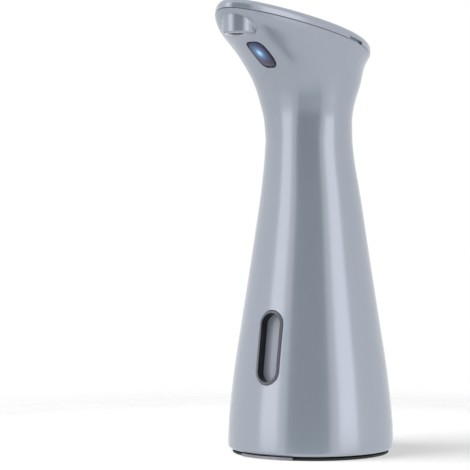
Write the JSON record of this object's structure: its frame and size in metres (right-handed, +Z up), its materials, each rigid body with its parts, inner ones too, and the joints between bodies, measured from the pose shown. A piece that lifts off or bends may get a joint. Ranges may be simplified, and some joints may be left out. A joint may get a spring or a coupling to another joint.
{
  "type": "automatic soap dispenser",
  "caption": "Free-standing automatic soap dispenser: goose-neck housing with lift-off lid, touch-free sensor and spout under the nose, level window, pump and bayonet battery base.",
  "frame": {"origin": "on the surface it stands on, at the centre of the round base", "axes": "+Z up; the nose with the spout points along -Y; +X is the right side seen from the front"},
  "size_m": [0.0712, 0.0971, 0.1879],
  "materials": {
    "housing_plastic": "smooth satin-gloss moulding, cool grey",
    "dark_plastic": "fine matte, black",
    "rim_plastic": "satin, dark grey",
    "clear_grey": "frosted clear grey",
    "smoked_lens": "polished, smoked",
    "blue_light": "diffusing blue",
    "clear_tank": "natural clear",
    "white_nylon": "moulded, off-white",
    "black_rubber": "matte",
    "silicone": "translucent",
    "steel": "zinc plated",
    "brass": "machined",
    "board_green": "glass-fibre board",
    "cell_jacket": "printed film left plain"
  },
  "bodies": {
    "housing": {"battery_1": "cell_jacket", "battery_2": "cell_jacket", "battery_3": "cell_jacket", "battery_4": "cell_jacket", "battery_holder": "dark_plastic", "body_shell": "housing_plastic", "contact_plate_1": "steel", "contact_plate_2": "steel", "contact_spring_1": "steel", "contact_spring_2": "steel", "contact_spring_3": "steel", "contact_spring_4": "steel", "control_board": "board_green", "deck_screw_1": "steel", "deck_screw_2": "steel", "deck_screw_3": "steel", "deck_screw_4": "steel", "delivery_tube": "silicone", "duckbill_valve": "silicone", "head_deck": "housing_plastic", "idler_pin": "steel", "inlet_strainer": "white_nylon", "ir_emitter": "smoked_lens", "ir_receiver": "smoked_lens", "motor_can": "steel", "motor_end_cap": "dark_plastic", "motor_mount": "dark_plastic", "nozzle_tip": "dark_plastic", "outlet_grommet": "black_rubber", "pump_cover": "white_nylon", "pump_housing": "white_nylon", "pump_screw_1": "steel", "pump_screw_2": "steel", "sensor_board": "board_green", "sensor_lens": "smoked_lens", "sensor_loom": "dark_plastic", "soap_tank": "clear_tank", "status_led": "blue_light", "switch_board": "board_green", "tact_switch": "dark_plastic", "tank_neck_seal": "black_rubber", "window_bezel": "rim_plastic", "window_pane": "clear_grey"},
    "lid": {"top_lid": "housing_plastic", "fill_plug": "black_rubber"},
    "button": {"power_button": "housing_plastic"},
    "base": {"base_cap": "housing_plastic", "foot_pad": "black_rubber", "cell_foam": "black_rubber"},
    "pump_drive": {"drive_shaft": "steel", "pump_drive_gear": "steel", "reduction_wheel": "white_nylon"},
    "pump_idler": {"pump_idler_gear": "steel"},
    "motor_rotor": {"motor_shaft": "steel", "motor_pinion": "brass"}
  },
  "joints": [
    {"name": "lid_lift", "type": "slide", "parent": "housing", "child": "lid", "axis": [0, 0.1942, 0.981], "range_m": [0, 0.025]},
    {"name": "button_press", "type": "slide", "parent": "lid", "child": "button", "axis": [0, -0.1942, -0.981], "range_m": [0, 0.0006], "stiffness_N_per_m": 400, "springref_m": -0.0003},
    {"name": "base_twist", "type": "hinge", "parent": "housing", "child": "base", "pos_m": [0, 0, 0], "axis": [0, 0, -1], "range_deg": [0, 40]},
    {"name": "pump_drive_spin", "type": "hinge", "parent": "housing", "child": "pump_drive", "pos_m": [0.00625, 0.0142, 0.0233], "axis": [0, 0, 1], "continuous": true},
    {"name": "pump_idler_spin", "type": "hinge", "parent": "housing", "child": "pump_idler", "pos_m": [-0.00275, 0.0142, 0.0233], "axis": [0, 0, 1], "continuous": true},
    {"name": "motor_spin", "type": "hinge", "parent": "housing", "child": "motor_rotor", "pos_m": [-0.00575, 0.0142, 0.0305], "axis": [0, 0, 1], "continuous": true}
  ],
  "couplings": [
    {"joint": "pump_idler_spin", "follows": "pump_drive_spin", "ratio": -1},
    {"joint": "motor_spin", "follows": "pump_drive_spin", "ratio": -3}
  ]
}
